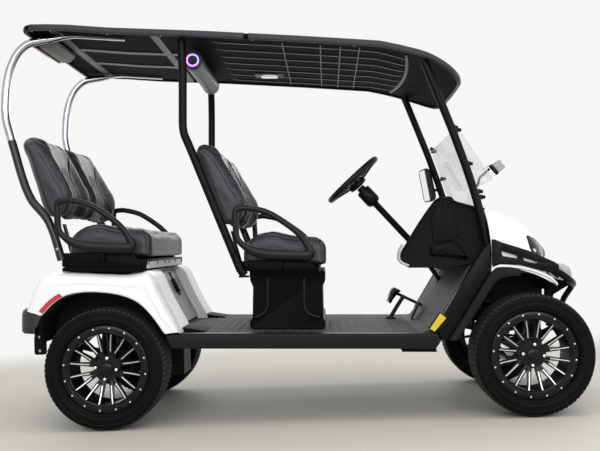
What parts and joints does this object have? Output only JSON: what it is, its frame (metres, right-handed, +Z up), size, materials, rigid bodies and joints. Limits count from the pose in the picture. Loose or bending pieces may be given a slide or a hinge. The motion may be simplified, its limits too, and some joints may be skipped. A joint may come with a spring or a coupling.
{
  "type": "four-seat golf cart",
  "caption": "Low-speed electric cart with two forward-facing benches, long roof on posts, fold-down windshield, rolling wheels and coupled front steering.",
  "frame": {"origin": "on the ground, centred under the cart's bounding box", "axes": "+X forward, +Y to the cart's left (driver's side), +Z up"},
  "size_m": [2.9337, 1.226, 1.9874],
  "materials": {
    "frame_paint": "satin black powder coat",
    "sill_paint": "satin charcoal",
    "floor_mat": "matt ribbed mat",
    "inner_block": "matt",
    "motor_paint": "satin",
    "axle_paint": "satin",
    "spring_steel": "satin",
    "rack_paint": "matt",
    "rod_steel": "zinc",
    "knuckle_iron": "matt",
    "tyre": "satin sidewall",
    "rim_black": "gloss black with machined spoke edges",
    "white_body": "gloss white",
    "grey_panel": "satin grey",
    "bumper_plastic": "satin",
    "red_lens": "clear red",
    "gloss_black": "gloss black",
    "bumper_grey": "satin grey",
    "lamp_lens": "smoked lens",
    "liner_plastic": "matt black",
    "dash_plastic": "grained black",
    "clear_pane": "clear acrylic",
    "mirror_body": "satin black",
    "post_paint": "satin black",
    "strut_chrome": "bright above, black below",
    "roof_plastic": "satin charcoal",
    "speaker_body": "satin grey",
    "base_plastic": "moulded black",
    "seat_vinyl": "charcoal vinyl",
    "arm_plastic": "satin black",
    "column_paint": "satin black",
    "wheel_grip": "soft black",
    "pedal_paint": "satin black"
  },
  "bodies": {
    "chassis": {"chassis_frame": "frame_paint", "side_rails": "sill_paint", "floor_pan": "floor_mat", "battery_block": "inner_block", "motor_block": "motor_paint", "rear_axle": "axle_paint", "rear_springs": "spring_steel", "front_axle": "axle_paint", "front_springs": "spring_steel", "rack_housing": "rack_paint", "rear_body": "white_body", "rear_panel": "grey_panel", "rear_bumper": "bumper_plastic", "red_lamps": "red_lens", "hood": "white_body", "front_guard": "gloss_black", "front_bumper": "bumper_grey", "headlamps": "lamp_lens", "fender_liners": "liner_plastic", "dash": "dash_plastic", "windshield": "clear_pane", "mirrors": "mirror_body", "roof_posts": "post_paint", "rear_struts": "strut_chrome", "roof": "roof_plastic", "sound_bar": "speaker_body", "seat_pedestal": "base_plastic", "rear_seat_base": "base_plastic", "cushions": "seat_vinyl", "backrests": "seat_vinyl", "armrests": "arm_plastic", "steering_column": "column_paint", "pedals": "pedal_paint"},
    "steering_rack": {"tie_rod": "rod_steel"},
    "knuckle_left": {"knuckle_left": "knuckle_iron"},
    "knuckle_right": {"knuckle_right": "knuckle_iron"},
    "steering_wheel": {"steering_wheel": "wheel_grip"},
    "wheel_front_left": {"tyre_front_left": "tyre", "rim_front_left": "rim_black"},
    "wheel_front_right": {"tyre_front_right": "tyre", "rim_front_right": "rim_black"},
    "wheel_rear_left": {"tyre_rear_left": "tyre", "rim_rear_left": "rim_black"},
    "wheel_rear_right": {"tyre_rear_right": "tyre", "rim_rear_right": "rim_black"}
  },
  "joints": [
    {"name": "steer_left", "type": "hinge", "parent": "chassis", "child": "knuckle_left", "pos_m": [1.124, 0.44, 0.296], "axis": [0, 0, 1], "range_deg": [-28, 28]},
    {"name": "steer_right", "type": "hinge", "parent": "chassis", "child": "knuckle_right", "pos_m": [1.124, -0.44, 0.296], "axis": [0, 0, 1], "range_deg": [-28.2, 28.2]},
    {"name": "rack_travel", "type": "slide", "parent": "chassis", "child": "steering_rack", "axis": [0, 1, 0], "range_m": [-0.0449, 0.0449]},
    {"name": "steering_wheel_turn", "type": "hinge", "parent": "chassis", "child": "steering_wheel", "pos_m": [0.3083, 0.27, 1.2415], "axis": [-0.6587, 0, 0.7524], "range_deg": [-336.5, 336.5]},
    {"name": "wheel_front_left_spin", "type": "hinge", "parent": "knuckle_left", "child": "wheel_front_left", "pos_m": [1.124, 0.5, 0.296], "axis": [0, 1, 0], "continuous": true},
    {"name": "wheel_front_right_spin", "type": "hinge", "parent": "knuckle_right", "child": "wheel_front_right", "pos_m": [1.124, -0.5, 0.296], "axis": [0, 1, 0], "continuous": true},
    {"name": "wheel_rear_left_spin", "type": "hinge", "parent": "chassis", "child": "wheel_rear_left", "pos_m": [-0.95, 0.5, 0.296], "axis": [0, 1, 0], "continuous": true},
    {"name": "wheel_rear_right_spin", "type": "hinge", "parent": "chassis", "child": "wheel_rear_right", "pos_m": [-0.95, -0.5, 0.296], "axis": [0, 1, 0], "continuous": true}
  ],
  "couplings": [
    {"joint": "steer_right", "follows": "steer_left", "ratio": 1},
    {"joint": "rack_travel", "follows": "steer_left", "m_per_rad": -0.0913},
    {"joint": "steering_wheel_turn", "follows": "steer_left", "ratio": 12}
  ]
}
